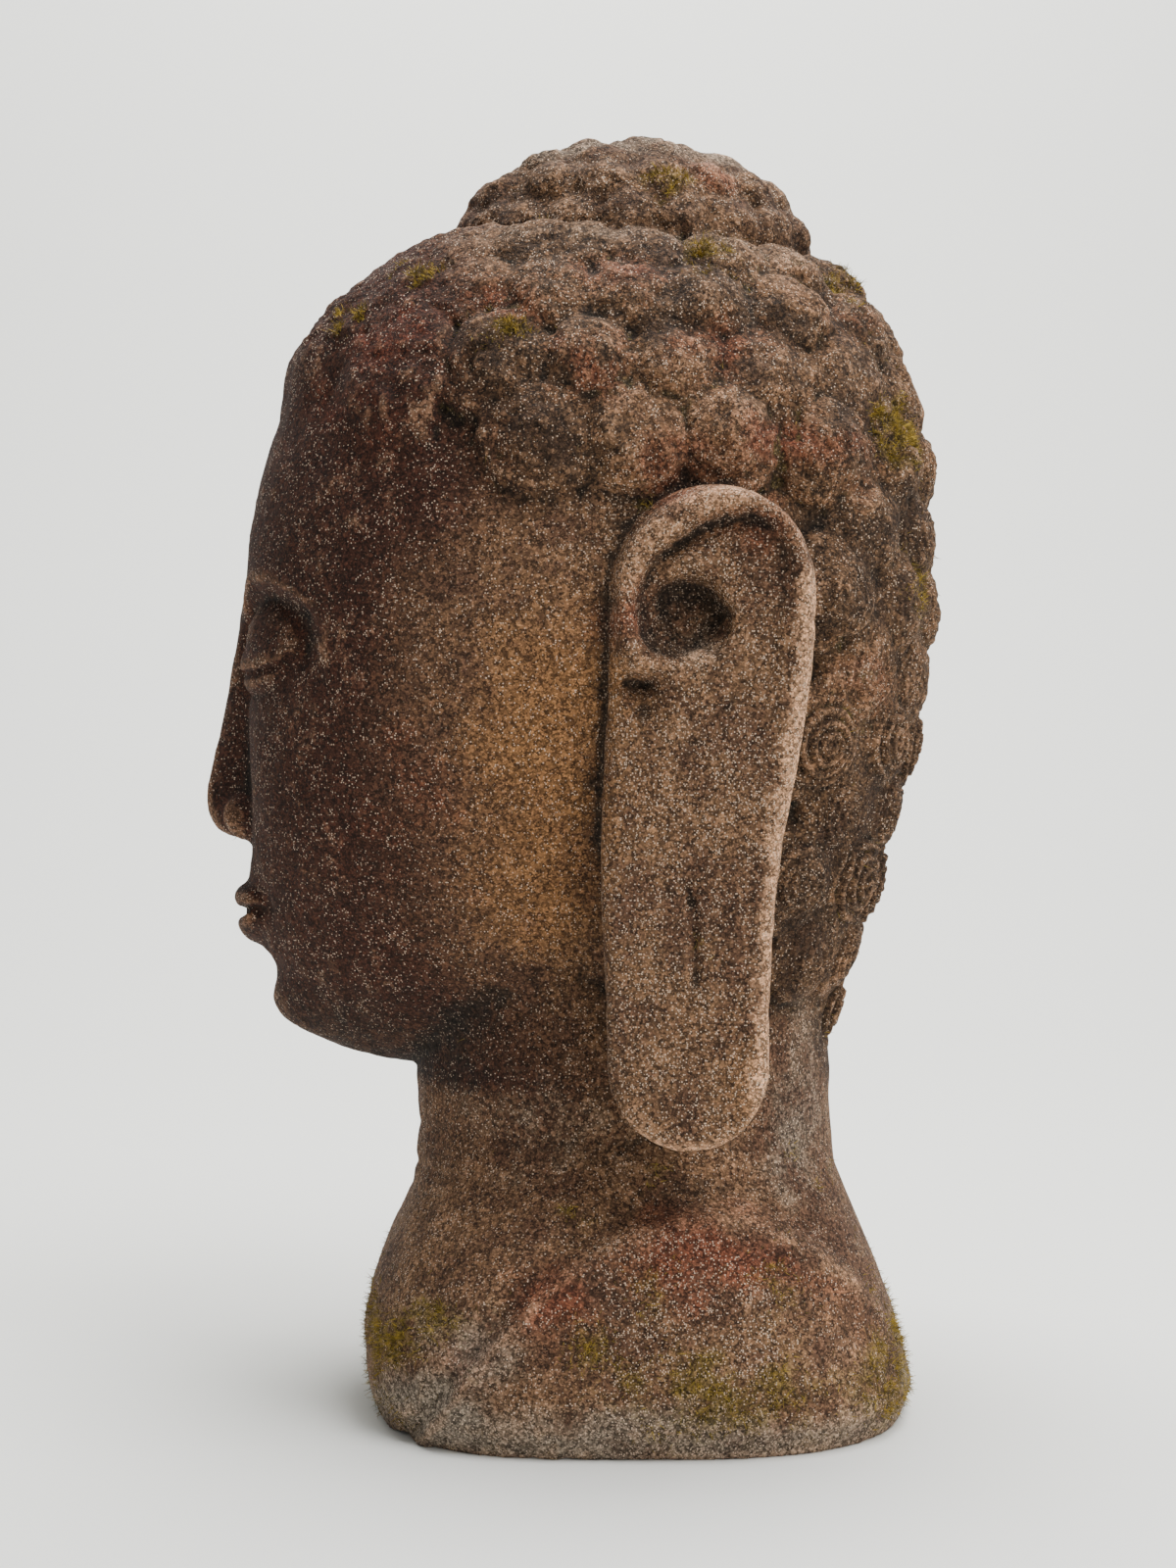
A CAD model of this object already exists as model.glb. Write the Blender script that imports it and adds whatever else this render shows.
import math

import bmesh
import bpy
import numpy as np
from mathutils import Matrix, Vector


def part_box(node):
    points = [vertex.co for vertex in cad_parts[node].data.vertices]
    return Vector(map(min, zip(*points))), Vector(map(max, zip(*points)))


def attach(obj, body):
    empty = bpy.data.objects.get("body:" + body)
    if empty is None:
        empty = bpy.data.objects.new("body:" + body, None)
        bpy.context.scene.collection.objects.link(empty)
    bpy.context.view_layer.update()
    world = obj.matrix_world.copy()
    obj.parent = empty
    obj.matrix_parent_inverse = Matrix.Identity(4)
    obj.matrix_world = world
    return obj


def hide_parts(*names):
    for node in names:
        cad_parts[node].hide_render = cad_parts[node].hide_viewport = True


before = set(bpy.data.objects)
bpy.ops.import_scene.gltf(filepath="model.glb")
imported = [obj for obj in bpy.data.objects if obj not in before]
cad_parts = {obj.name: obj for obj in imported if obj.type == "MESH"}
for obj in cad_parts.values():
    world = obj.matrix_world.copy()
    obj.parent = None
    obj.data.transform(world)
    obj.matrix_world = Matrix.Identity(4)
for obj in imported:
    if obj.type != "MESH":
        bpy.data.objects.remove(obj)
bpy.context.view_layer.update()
scene = bpy.context.scene
drawnHeight = 396.9
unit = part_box("buddha_head")[1][2] / drawnHeight  # a millimetre of the drawing, in metres
tiny = 1e-6

# camera, level with the ear and square to the head's left side
view = {
    "distance": 751,
    "alongY": -16,
    "height": 191,
    "lens": 54,
    "sensorWidth": 36,
}


def addCamera():
    data = bpy.data.cameras.new("sideCamera")
    data.lens = view["lens"]
    data.sensor_width = view["sensorWidth"]
    camera = bpy.data.objects.new("sideCamera", data)
    camera.location = Vector((view["distance"], view["alongY"], view["height"])) * unit
    camera.rotation_euler = (math.pi / 2, 0, math.pi / 2)
    scene.collection.objects.link(camera)
    scene.camera = camera


addCamera()
print("camera placed")


# small curves used by every form below; all work on numpy arrays
def ease(start, end, t):
    k = np.clip((t - start) / (end - start), 0.0, 1.0)
    return k * k * (3.0 - 2.0 * k)


def bell(t):
    return np.exp(-t * t)


def roundOff(t, power):
    return np.maximum(0.0, 1.0 - np.clip(np.abs(t), 0.0, 1.0) ** power) ** (1.0 / power)


def mix(a, b, k):
    return a + (b - a) * k


# large odd numbers that turn a cell's place into a random value
shuffle = {
    "place": (73856093, 19349663, 83492791), "seed": 2654435761, "spread": 1274126177, "values": 20011,
    "shift": 57.3,
}


def lumps(points, size, seed):
    # smooth random lumps of about this size, from -1 to 1
    place = points / size + shuffle["shift"] * seed
    cell = np.floor(place).astype(np.int64)
    part = place - cell
    part = part * part * (3.0 - 2.0 * part)
    total = np.zeros(len(points))
    for corner in range(8):
        step = np.array([corner & 1, corner >> 1 & 1, corner >> 2 & 1])
        code = np.bitwise_xor.reduce((cell + step) * shuffle["place"], axis=1) ^ (seed * shuffle["seed"])
        code = (code ^ (code >> 13)) * shuffle["spread"] & 0x7FFFFFFF
        value = (code % shuffle["values"]) / (shuffle["values"] / 2) - 1.0
        weight = np.prod(np.where(step == 1, part, 1.0 - part), axis=1)
        total += value * weight
    return total


# the head under its hair, in millimetres
head = {
    "chinLevel": 102,
    "height": 260,
    "width": 176,
    "depth": 210,
    "axisY": -16,
    "widestShare": 0.54,
    "foreheadShare": 0.514,
    "frontRoundness": 2.3,
    "backRoundness": 3.1,
    "sideRoundness": 2.6,
    "jawRoundness": 2.1,
    "chinRoundness": 5,
    "faceLean": 0.05,
    "faceSection": 2.3,
    "jawEnd": math.pi * 0.38,
    "napeStart": math.pi * 0.66,
    "napeDepth": 64,
    "napeFall": 1.45,
    "napeHalfShare": 0.68,
    "napeClosing": 0.08,
}
topknot = {
    "width": 93, "depth": 109, "top": 391.5, "rise": 37, "skirt": 8, "back": 13, "creaseShare": 0.032,
    "creaseTilt": 4, "sunk": 2, "rings": (1, 5, 10, 16, 20), "curlAcross": 16, "curlRise": 3,
    "hairThickness": 1.6,
}
curl = {
    "across": 27.2, "rise": 6, "rowPitch": 22, "rowsPerCurl": 1.5, "around": 20, "softness": 0.75,
    "hairThickness": 3.6, "layerStart": 1.16, "layerEnd": 1.38, "hairlineGap": 0.2, "earGap": 3,
    "unevenPlace": 1.3, "unevenSize": 0.09, "riseLeft": (0.6, 1.1), "riseLeftBehind": 0.75,
}
# curls over the forehead are worn flat between these turns from the front, in degrees
wear = {
    "lastWorn": 45, "firstWhole": 78, "kept": 0.12, "filled": 0.6, "blurred": 1.8, "unevenness": 0.2,
}
crownLevel = head["chinLevel"] + head["height"]
widestLevel = head["chinLevel"] + head["height"] * head["widestShare"]
creaseLevel = crownLevel - head["height"] * topknot["creaseShare"]
walkSteps = 400
behindEar = 0.75 * math.pi


def sectionRadius(turn, half, depth, power):
    forward = np.abs(np.cos(turn)) / np.maximum(depth, tiny)
    sideways = np.abs(np.sin(turn)) / np.maximum(half, tiny)
    return (forward ** power + sideways ** power) ** (-1.0 / power)


def skullSection(level, turn):
    back = np.cos(turn) < 0
    rise = np.clip((level - widestLevel) / (crownLevel - widestLevel), 0, 1)
    fall = np.clip((widestLevel - level) / (widestLevel - head["chinLevel"]), 0, 1)
    front = head["depth"] * head["foreheadShare"]
    rear = head["depth"] - front
    half = head["width"] / 2
    upHalf = half * roundOff(rise, head["sideRoundness"])
    upFront = front * roundOff(rise, head["frontRoundness"])
    upBack = rear * roundOff(rise, head["backRoundness"])
    down = fall ** head["napeFall"]
    closing = roundOff(np.maximum(0, (fall - 1 + head["napeClosing"]) / head["napeClosing"]), 2)
    jaw = half * roundOff(fall, head["jawRoundness"])
    nape = half * mix(1, head["napeHalfShare"], down) * closing
    downHalf = mix(jaw, nape, ease(head["jawEnd"], head["napeStart"], np.abs(turn)))
    downFront = front * (1 - head["faceLean"] * fall) * roundOff(fall, head["chinRoundness"])
    downBack = mix(rear, head["napeDepth"], down) * closing
    halfHere = np.where(rise > 0, upHalf, downHalf)
    depthHere = np.where(rise > 0, np.where(back, upBack, upFront), np.where(back, downBack, downFront))
    closed = (halfHere < tiny) | (depthHere < tiny)
    return np.where(closed, 0.0, sectionRadius(turn, halfHere, depthHere, head["faceSection"]))


def walkOutline():
    # distances down the outline: over the topknot, then down behind the ear
    k = np.linspace(0, 1, walkSteps + 1)
    angle = k * math.pi / 2
    knotRadius = np.append(topknot["width"] / 2 * np.sin(angle), topknot["width"] / 2)
    rim = topknot["top"] - topknot["rise"]
    knotLevel = np.append(topknot["top"] - topknot["rise"] * (1 - np.cos(angle)), rim - topknot["skirt"])
    level = head["chinLevel"] + (creaseLevel - head["chinLevel"]) * (0.5 + 0.5 * np.cos(math.pi * k))
    radius = skullSection(level, np.full_like(level, behindEar))
    knotLength = np.append(0, np.cumsum(np.hypot(np.diff(knotRadius), np.diff(knotLevel))))
    length = knotLength[-1] + np.append(0, np.cumsum(np.hypot(np.diff(radius), np.diff(level))))
    return (knotLength, knotLevel, knotRadius), (length, level)


knotWalk, skullWalk = walkOutline()
knotLength = knotWalk[0][-1]
walkLength = skullWalk[0][-1]
skullRows = round((walkLength - knotLength) * curl["rowsPerCurl"] / curl["rowPitch"])
rowStep = (walkLength - knotLength) / skullRows


def barePoint(turn, length):
    crease = creaseLevel + topknot["creaseTilt"] * np.cos(turn)
    rim = topknot["top"] - topknot["rise"]
    knotLevel = np.interp(length, knotWalk[0], knotWalk[1])
    knotRadius = np.interp(length, knotWalk[0], knotWalk[2])
    skirt = np.maximum(0, rim - knotLevel) * (rim - crease + topknot["sunk"]) / topknot["skirt"]
    onKnot = np.stack([
        knotRadius * np.sin(turn),
        head["axisY"] + topknot["back"] - knotRadius * topknot["depth"] / topknot["width"] * np.cos(turn),
        np.maximum(knotLevel, rim) - skirt,
    ], axis=-1)
    height = np.interp(length, skullWalk[0], skullWalk[1]) - head["chinLevel"]
    level = head["chinLevel"] + height * (crease - head["chinLevel"]) / (creaseLevel - head["chinLevel"])
    reach = skullSection(level, turn)
    onSkull = np.stack([reach * np.sin(turn), head["axisY"] - reach * np.cos(turn), level], axis=-1)
    return np.where((length <= knotLength)[..., None], onKnot, onSkull)


def bareNormal(turn, length):
    near = np.where(length <= knotLength, np.clip(length, 1, knotLength - 1),
                    np.clip(length, knotLength + 1, walkLength - 1))
    aside = 0.02
    onward = 0.8
    eastwards = barePoint(turn + aside, near) - barePoint(turn - aside, near)
    downwards = barePoint(turn, near + onward) - barePoint(turn, near - onward)
    normal = np.cross(downwards, eastwards)
    return normal / np.maximum(np.linalg.norm(normal, axis=-1, keepdims=True), 1e-9)


# ears; y and z are millimetres back from the foot's centre and up from its underside
ear = {
    "top": 275, "bottom": 88, "width": 57, "lobeWidth": 45, "lobeMiddle": 12, "slant": 7,
    "thickness": 15, "proud": 5, "lean": 0.12, "frontEdge": -10.5, "innerSide": 41, "outerSide": 80,
    "topCurve": 30, "bottomCurve": 24, "endReach": 26, "edgeReach": 5, "edgeRounding": 3.8,
    "webInset": 7, "webLap": 2, "webInnerSide": 37,
}
earHub = (14, ear["top"] - 0.2 * (ear["top"] - ear["bottom"]))  # the middle of the carved part
# the rolled rim, from inside the hollow round the front and the top and down the back edge;
# its stretches are shares of its length, and its points are set off from the hub
helix = {
    "rise": 5, "width": 9.6, "thin": 0.75, "thickens": (0, 0.2), "wide": 1.4, "widens": (0.6, 0.85),
    "flat": 0.45, "flattens": (0.58, 0.8), "starts": (-0.05, 0.08), "fades": (1, 0.72), "steps": 140,
    "line": np.array([
        (1.3, -12.6), (-8, -15.6), (-17.4, -11), (-21.4, 2), (-17.6, 15), (-7, 26.4), (7, 33),
        (20.4, 31.4), (29, 21), (31.2, 6), (29, -11), (25.6, -32), (23.4, -52),
    ]),
}
concha = {
    "depth": 8.5, "across": 14.8, "high": 15.3, "off": 2.6, "tilt": 0.45, "floorShares": (0.2, 0.72),
    "steepens": (-9, 7), "underRim": 0.15,
}
innerRidge = {"rise": 1.6, "off": 1, "radius": 17.3, "half": 2, "ends": (10, -4)}
rimFurrow = {"depth": 2.8, "off": 0.72, "half": 0.24, "ends": (0.64, 0.5), "starts": (0.05, 0.25)}
# oval dents: depth, place back and up, half width, half height and tilt
dents = {
    "underRim": (2, -1, 9, 9, 3, 0),
    "hole": (7.5, 0.3, 219.6, 5.8, 2.5, 0.1),
    "notch": (3.4, -0.6, 213, 4.6, 6, 0),
}
lobeSlit = {
    "line": np.array([(10.4, 167.8), (13.4, 155.6), (14.2, 145), (14, 132)]), "depth": 2.8, "half": 1.3,
    "starts": (0, 0.25), "ends": (1, 0.85),
}
lobeCrease = {"line": np.array([(27.6, 218.2), (19.5, 209), (11.2, 199.2)]), "depth": 1.5, "half": 2.4}
frontGroove = {"inset": 7, "depth": 0.5, "half": 1.6, "top": (195, 180), "bottom": (100, 125)}


def smoothLine(points, steps):
    # a Catmull-Rom curve through the points
    ends = np.vstack([2 * points[0] - points[1], points, 2 * points[-1] - points[-2]])
    t = np.linspace(0, len(points) - 1, steps)
    i = np.minimum(t.astype(int), len(points) - 2)
    k = (t - i)[:, None]
    a, b, c, d = ends[i], ends[i + 1], ends[i + 2], ends[i + 3]
    cubic = 3 * b - a - 3 * c + d
    return 0.5 * (2 * b + (c - a) * k + (2 * a - 5 * b + 4 * c - d) * k ** 2 + cubic * k ** 3)


helixPoints = smoothLine(helix["line"], helix["steps"])


def earMiddle(level):
    upper = ear["lobeMiddle"] + ear["slant"]
    return mix(ear["lobeMiddle"], upper, ease(ear["bottom"] + 62, ear["top"] - 32, level))


def earHalf(level):
    return mix(ear["lobeWidth"] / 2, ear["width"] / 2, ease(ear["bottom"] + 25, ear["top"] - 34, level))


def earPlane(y):
    return head["width"] / 2 + ear["proud"] + (y - ear["frontEdge"]) * ear["lean"]


def distanceToLine(y, z, line):
    best = np.full(len(y), np.inf)
    where = np.zeros(len(y))
    for i, (a, b) in enumerate(zip(line[:-1], line[1:])):
        step = b - a
        k = np.clip(((y - a[0]) * step[0] + (z - a[1]) * step[1]) / (step @ step), 0, 1)
        far = np.hypot(y - a[0] - k * step[0], z - a[1] - k * step[1])
        closer = far < best
        best[closer] = far[closer]
        where[closer] = ((i + k) / (len(line) - 1))[closer]
    return best, where


def dent(name, y, z):
    depth, back, up, half, high, tilt = dents[name]
    return -depth * bell(np.hypot((y - back) / half, (z - up - tilt * y) / high))


def earRelief(y, z):
    a = y - earHub[0]
    b = z - earHub[1]
    far, where = distanceToLine(a, b, helixPoints)
    slender = mix(helix["thin"], 1, ease(*helix["thickens"], where))
    halfWidth = 0.5 * helix["width"] * slender * mix(1, helix["wide"], ease(*helix["widens"], where))
    roll = helix["rise"] * slender * roundOff(far / halfWidth, 2)
    flattened = mix(1, helix["flat"], ease(*helix["flattens"], where))
    roll *= ease(*helix["starts"], where) * flattened * ease(*helix["fades"], where)
    up = (b + concha["off"]) / concha["high"]
    floor = 1 + concha["tilt"] * np.clip(up, -1, 1)
    flat = mix(*concha["floorShares"], ease(*concha["steepens"], b + 0.5 * a))
    bowl = -concha["depth"] * floor * ease(1, flat, np.hypot((a + concha["off"]) / concha["across"], up))
    ring = np.hypot(a + innerRidge["off"], b + innerRidge["off"]) - innerRidge["radius"]
    ridge = innerRidge["rise"] * bell(ring / innerRidge["half"]) * ease(*innerRidge["ends"], a - 0.2 * b)
    furrow = -rimFurrow["depth"] * bell((far / helix["width"] - rimFurrow["off"]) / rimFurrow["half"])
    furrow *= ease(*rimFurrow["ends"], where) * ease(*rimFurrow["starts"], where)
    hollow = bowl + dent("underRim", a, b) + furrow + ridge
    return np.where(roll > 0.2, roll + concha["underRim"] * bowl, hollow) + earCuts(y, z)


def earCuts(y, z):
    # the hole and notch under the rim, the slit and the crease of the lobe, and its front groove
    far, down = distanceToLine(y, z, lobeSlit["line"])
    slit = -lobeSlit["depth"] * bell(far / lobeSlit["half"])
    slit *= ease(*lobeSlit["starts"], down) * ease(*lobeSlit["ends"], down)
    far, _ = distanceToLine(y, z, lobeCrease["line"])
    crease = -lobeCrease["depth"] * bell(far / lobeCrease["half"])
    inward = y - earMiddle(z) + earHalf(z) - frontGroove["inset"]
    groove = -frontGroove["depth"] * bell(inward / frontGroove["half"])
    groove *= ease(*frontGroove["top"], z) * ease(*frontGroove["bottom"], z)
    return dent("hole", y, z) + dent("notch", y, z) + slit + crease + groove


def insideEar(points, margin, topMargin):
    y, z = points[:, 1], points[:, 2]
    inside = np.abs(y - earMiddle(z)) < earHalf(z) - margin
    return inside & (z < ear["top"] - topMargin) & (np.abs(points[:, 0]) > ear["innerSide"])


def onEarFace(points, margin, topMargin):
    return insideEar(points, margin, topMargin) & (np.abs(points[:, 0]) > ear["outerSide"])


# the hair: rows of curls down to the hairline (turn from the front in degrees, level)
hairline = np.array([(0, 326), (35, 318), (60, 297), (80, 280), (94, 268), (125, 150), (180, 104)])


def skullCurls():
    rows = math.ceil(skullRows / curl["rowsPerCurl"] - 1)
    row, i = np.divmod(np.arange(rows * curl["around"]), curl["around"])
    turn = 2 * math.pi * (i + 0.5 * (row % 2)) / curl["around"]
    turn = np.where(turn > math.pi, turn - 2 * math.pi, turn)
    length = knotLength + rowStep * (1 + curl["rowsPerCurl"] * row)
    centre = barePoint(turn, length)
    degrees = np.abs(np.degrees(turn))
    lowest = np.interp(degrees, hairline[:, 0], hairline[:, 1]) + curl["hairlineGap"] * curl["across"]
    keep = (centre[:, 2] >= lowest) & ~insideEar(centre, curl["earGap"], 2 * curl["earGap"])
    whole = mix(wear["kept"], 1, ease(wear["lastWorn"], wear["firstWhole"], degrees))
    return {
        "turn": turn[keep],
        "length": length[keep],
        "radius": np.full(keep.sum(), curl["across"] / 2),
        "rise": (curl["rise"] * whole * (1 + wear["unevenness"] * np.sin(7 * i + 3 * row)))[keep],
        "layer": (curl["hairThickness"] + wear["filled"] * curl["rise"] * (1 - whole))[keep],
        "end": (curl["layerEnd"] + wear["blurred"] * (1 - whole))[keep],
    }


def topknotCurls():
    ring = np.repeat(np.arange(len(topknot["rings"])), topknot["rings"])
    around = np.array(topknot["rings"])[ring]
    i = np.concatenate([np.arange(count) for count in topknot["rings"]])
    return {
        "turn": 2 * math.pi * (i + 0.5 * (ring % 2)) / around,
        "length": knotLength * ring / len(topknot["rings"]),
        "radius": np.full(len(i), topknot["curlAcross"] / 2),
        "rise": np.full(len(i), topknot["curlRise"]),
        "layer": np.full(len(i), topknot["hairThickness"]),
        "end": np.full(len(i), curl["layerEnd"]),
    }


def joinCurls(first, second):
    # no two curls are quite alike in place, size and wear
    joined = {name: np.concatenate([first[name], second[name]]) for name in first}
    random = np.random.default_rng(5)
    count = len(joined["turn"])
    joined["centre"] = barePoint(joined["turn"], joined["length"])
    joined["centre"] += curl["unevenPlace"] * random.uniform(-1, 1, (count, 3))
    joined["normal"] = bareNormal(joined["turn"], joined["length"])
    joined["radius"] *= 1 + curl["unevenSize"] * random.uniform(-1, 1, count)
    behind = ease(20, 60, joined["centre"][:, 1]) * ease(250, 200, joined["centre"][:, 2])
    left = mix(random.uniform(*curl["riseLeft"], count), curl["riseLeftBehind"], behind)
    joined["layer"] += 0.4 * joined["rise"] * (1 - left)
    joined["rise"] *= left
    return joined


curls = joinCurls(skullCurls(), topknotCurls())
print("curls placed:", len(curls["turn"]))


def nearestCurls(points):
    # share of the radius to the nearest curl, and which one it is
    share = np.empty(len(points))
    which = np.empty(len(points), dtype=int)
    for start in range(0, len(points), 20000):
        part = slice(start, start + 20000)
        gap = points[part, None, :] - curls["centre"][None]
        far = np.sqrt((gap ** 2).sum(axis=2)) / curls["radius"]
        which[part] = far.argmin(axis=1)
        share[part] = far.min(axis=1)
    return share, which


def hairHeight(points):
    share, which = nearestCurls(points)
    layer = curls["layer"][which] * ease(curls["end"][which], curl["layerStart"], share)
    dome = np.maximum(0, 1 - share ** 2) ** curl["softness"]
    return layer + curls["rise"][which] * dome


# the face: brow, nose and chin part it in equal thirds, and the head is five eyes wide; its forms
# are worked out in eye widths, across from the middle and up from the chin
eyeWidth = head["width"] / 5
faceThird = 0.28 * head["height"] / eyeWidth
face = {
    "brow": 2 * faceThird, "eye": 0.5 * head["height"] / eyeWidth, "nose": faceThird,
    "mouth": 2 * faceThird / 3, "foreheadHigh": 0.7,
}
brow = {
    "peak": 1.05, "inner": 0.85, "outer": 0.95, "arch": 0.14, "drop": 0.36, "ridge": 0.03,
    "ridgeHigh": 0.1, "starts": (0.12, 0.4), "ends": (1.95, 1.6),
}
socket = {"depth": 0.17, "edge": (0.06, -0.22), "below": 0.57, "above": 0.06}
eye = {"across": 1, "half": 0.6, "high": 0.4, "bulge": 0.21}
lids = {
    "half": 0.52, "drop": 0.1, "arc": 0.12, "thickness": 0.035, "seam": (-0.01, 0.03),
    "fold": (0.28, 0.11), "ends": (0.56, 0.44),
}
nose = {
    "start": 0.17, "lead": 0.4, "bridge": 0.1, "tip": 0.46, "slope": 1.15, "halves": (0.3, 0.47),
    "sideRound": 1.4, "tipStart": 0.7, "tipRound": 0.32, "underRound": 2.4,
}
wing = {"across": 0.31, "up": 0.18, "half": 0.2, "high": 0.23, "rise": 0.27}
mouth = {"half": 0.72, "curve": 0.07, "corner": 0.06, "cornerAcross": 0.76, "cornerHalf": 0.12}
# of the upper and the lower lip
lips = {"high": (0.27, 0.31), "half": (0.72, 0.62), "fullness": (0.115, 0.135), "bow": (0.16, 0)}
philtrum = {"depth": 0.03, "half": 0.09, "starts": (0.2, 0.29), "end": 0.6}
# soft forms: rise, middle across and up, half width and half height
softForms = {
    "muzzle": (0.17, 0, 0, 0.77, 0.5),
    "chin": (0.26, 0, 0.46, 0.6, 0.36),
    "chinCrease": (-0.07, 0, -0.5, 0.57, 0.17),
    "cheek": (0.07, 1.25, 0.34, 0.6, 0.75),
}


def softForm(name, across, level):
    rise, middle, up, half, high = softForms[name]
    return rise * bell((across - middle) / half) * bell((level - up) / high)


def browRelief(across, level):
    reach = np.where(across < brow["peak"], brow["inner"], brow["outer"])
    above = level - (face["brow"] + brow["arch"] - brow["drop"] * ((across - brow["peak"]) / reach) ** 2)
    low = ease(face["eye"] - socket["below"], face["eye"] + socket["above"], level)
    ridge = brow["ridge"] * bell((above - brow["ridge"]) / brow["ridgeHigh"])
    extent = ease(*brow["starts"], across) * ease(*brow["ends"], across)
    return (ridge - socket["depth"] * ease(*socket["edge"], above) * low) * extent


def aboveLids(across, level):
    # height above the line where the lowered lids meet
    side = roundOff((across - eye["across"]) / lids["half"], 2)
    return level - face["eye"] + lids["drop"] + lids["arc"] * side


def eyeRelief(across, level):
    side = np.abs(across - eye["across"])
    ball = roundOff(np.hypot(side / eye["half"], (level - face["eye"]) / eye["high"]), 2)
    above = aboveLids(across, level)
    lid = lids["thickness"] * ease(*lids["seam"], above) * ease(*lids["fold"], above)
    return eye["bulge"] * ball + ease(*lids["ends"], side) * lid


def noseRelief(across, level):
    top = face["brow"] - nose["start"]
    down = (top - level) / (top - face["nose"])
    low = np.clip(down, 0, 1)
    under = roundOff(np.maximum(0, down - nose["tipStart"]) / nose["tipRound"], nose["underRound"])
    ridge = nose["bridge"] * ease(-nose["lead"], 0.1, down) + nose["tip"] * low ** nose["slope"]
    half = mix(*nose["halves"], low ** 2)
    spread = np.maximum(0, 1 - (across / half) ** 2) ** nose["sideRound"]
    up = (level - face["nose"] - wing["up"]) / wing["high"]
    side = wing["rise"] * roundOff(np.hypot((across - wing["across"]) / wing["half"], up), 2)
    return np.where(down > -nose["lead"], np.maximum(ridge * spread * under, side), 0)


def aboveMouth(across, level):
    return level - face["mouth"] - mouth["curve"] * (across / mouth["half"]) ** 2


def mouthRelief(across, level):
    above = aboveMouth(across, level)
    high, half, fullness, bow = (np.where(above > 0, upper, lower) for upper, lower in lips.values())
    middle = bell(across / philtrum["half"])
    span = high * roundOff(across / half, 2) * (1 - bow * middle)
    place = np.clip(np.abs(above) / np.maximum(span, 0.01), 0, 1)
    lip = fullness * (4 * place * (1 - place)) ** 0.7 * np.minimum(1, span / 0.09)
    corner = mouth["corner"] * bell(np.hypot(across - mouth["cornerAcross"], above) / mouth["cornerHalf"])
    groove = philtrum["depth"] * middle * ease(*philtrum["starts"], above) * (above < philtrum["end"])
    return softForm("muzzle", across, above) + lip - corner - groove


def chinRelief(across, level):
    return softForm("chin", across, level) + softForm("chinCrease", across, level - face["mouth"])


def cheekRelief(across, level):
    return softForm("cheek", across, level - face["nose"])


def inEyeWidths(points):
    return np.abs(points[:, 0]) / eyeWidth, (points[:, 2] - head["chinLevel"]) / eyeWidth


def faceRelief(points):
    across, level = inEyeWidths(points)
    forms = (browRelief, eyeRelief, noseRelief, mouthRelief, chinRelief, cheekRelief)
    total = eyeWidth * sum(form(across, level) for form in forms)
    onFace = (points[:, 1] < head["axisY"]) & (level < face["brow"] + face["foreheadHigh"])
    return np.where(onFace, total, 0)


# neck and foot: each side has its own profile of (level, distance from the column's axis)
column = {
    "axisY": -5,
    "top": 167,
    "footRoundness": 3,
    "neckRoundness": 2.1,
    "turnsRound": (20, 82),
    "front": [(0, 76), (9, 79), (25, 80.5), (38, 78), (50, 73.5), (66, 66), (80, 65), (167, 66)],
    "back": [(0, 86), (9, 89), (28, 84), (41, 79.5), (57, 73), (72, 67), (92, 65.5), (167, 66)],
    "side": [(0, 87), (9, 91), (26, 91), (45, 88), (58, 83.5), (67, 77), (76, 69), (86, 63.5), (167, 62)],
}


def columnPoint(turn, level, share):
    def profile(name):
        return np.interp(level, *np.transpose(column[name]))

    depth = np.where(np.cos(turn) > 0, profile("front"), profile("back"))
    power = mix(column["footRoundness"], column["neckRoundness"], ease(*column["turnsRound"], level))
    radius = share * sectionRadius(turn, profile("side"), depth, power)
    return np.stack([radius * np.sin(turn), column["axisY"] - radius * np.cos(turn), level], axis=-1)


# turning a bmesh into numpy and back
def toMesh(bm, name):
    mesh = bpy.data.meshes.new(name)
    bm.to_mesh(mesh)
    bm.free()
    return mesh


def readPoints(mesh):
    values = np.empty(len(mesh.vertices) * 3)
    mesh.vertices.foreach_get("co", values)
    return values.reshape(-1, 3)


def writePoints(mesh, points):
    mesh.vertices.foreach_set("co", np.ascontiguousarray(points, dtype=float).ravel())
    mesh.update()


def readNormals(mesh):
    values = np.empty(len(mesh.vertices) * 3, dtype=np.float32)
    mesh.vertex_normals.foreach_get("vector", values)
    return values.reshape(-1, 3).astype(float)


# columns and rows of the forms' grids
fineness = {"headForm": (420, 320), "columnForm": (280, 240), "earForm": (64, 200), "webForm": (8, 24)}


def sphereMesh(name, coarse):
    bm = bmesh.new()
    around, rows = fineness[name]
    bmesh.ops.create_uvsphere(bm, u_segments=around // coarse, v_segments=rows // coarse, radius=1)
    mesh = toMesh(bm, name)
    points = readPoints(mesh)
    turn = np.arctan2(points[:, 0], -points[:, 1])
    down = np.arccos(np.clip(points[:, 2], -1, 1)) / math.pi
    return mesh, turn, down


def headForm(coarse):
    mesh, turn, down = sphereMesh("headForm", coarse)
    length = down * walkLength
    points = barePoint(turn, length)
    height = hairHeight(points)
    relief = np.where(np.cos(turn) > 0, faceRelief(points), 0)
    points = points + bareNormal(turn, length) * height[:, None]
    points[:, 1] -= relief
    writePoints(mesh, points)
    return mesh


def columnForm(coarse):
    mesh, turn, down = sphereMesh("columnForm", coarse)
    up = 1 - down
    # shares of the grid's rows: the underside, the sides and the hidden top
    underside, sides, lid = 0.2, 0.7, 0.1
    share = np.where(up < underside, up / underside, np.where(up > 1 - lid, (1 - up) / lid, 1))
    level = column["top"] * np.clip((up - underside) / sides, 0, 1)
    writePoints(mesh, columnPoint(turn, level, share))
    return mesh


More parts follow.
